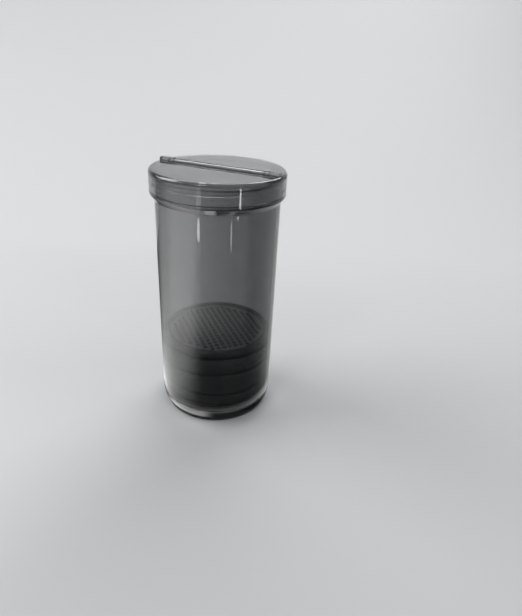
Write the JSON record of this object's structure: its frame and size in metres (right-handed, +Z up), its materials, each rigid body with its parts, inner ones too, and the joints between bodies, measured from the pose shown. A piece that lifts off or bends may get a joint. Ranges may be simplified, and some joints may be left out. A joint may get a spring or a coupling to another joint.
{
  "type": "cricket shaker",
  "caption": "Translucent cricket shaker: a tall cup with a sieve inside, a screw lid with a half-round hinged flap, and a screw base that collects the powder.",
  "frame": {"origin": "centre of the foot's underside, on the surface that the shaker stands on", "axes": "+Z up the cup's axis to the lid; X along the flap's hinge; +Y towards the flap, -Y towards the lid's fixed half"},
  "size_m": [0.0928, 0.0928, 0.1846],
  "materials": {
    "smoke_plastic": "gloss, translucent smoke grey",
    "lid_plastic": "gloss, translucent smoke grey",
    "sieve_plastic": "satin",
    "black_plastic": "satin",
    "black_rubber": "matte",
    "pin_steel": "drawn"
  },
  "bodies": {
    "base": {"base_cup": "smoke_plastic"},
    "seal": {"base_seal": "black_rubber"},
    "cup": {"cup_body": "smoke_plastic"},
    "sieve": {"sieve_frame": "smoke_plastic", "sieve_mesh": "sieve_plastic", "sieve_ring": "black_plastic"},
    "gasket": {"lid_gasket": "black_rubber"},
    "lid": {"lid_ring": "lid_plastic", "hinge_pin": "pin_steel"},
    "flap": {"lid_flap": "lid_plastic"}
  },
  "joints": [
    {"name": "cup_turn", "type": "hinge", "parent": "base", "child": "seal", "pos_m": [0, 0, 0.0105], "axis": [0, 0, 1], "range_deg": [0, 900]},
    {"name": "cup_rise", "type": "slide", "parent": "seal", "child": "cup", "axis": [0, 0, 1], "range_m": [0, 0.0125]},
    {"name": "sieve_lift", "type": "slide", "parent": "cup", "child": "sieve", "axis": [0, 0, 1], "range_m": [0, 0.1]},
    {"name": "lid_rise", "type": "slide", "parent": "cup", "child": "gasket", "axis": [0, 0, 1], "range_m": [0, 0.00525]},
    {"name": "lid_turn", "type": "hinge", "parent": "gasket", "child": "lid", "pos_m": [0, 0, 0.1683], "axis": [0, 0, 1], "range_deg": [0, 540]},
    {"name": "flap_hinge", "type": "hinge", "parent": "lid", "child": "flap", "pos_m": [0, 0, 0.182], "axis": [1, 0, 0], "range_deg": [0, 160]}
  ],
  "couplings": [
    {"joint": "cup_turn", "follows": "cup_rise", "rad_per_m": 1256.6},
    {"joint": "lid_turn", "follows": "lid_rise", "rad_per_m": 1795.2}
  ]
}
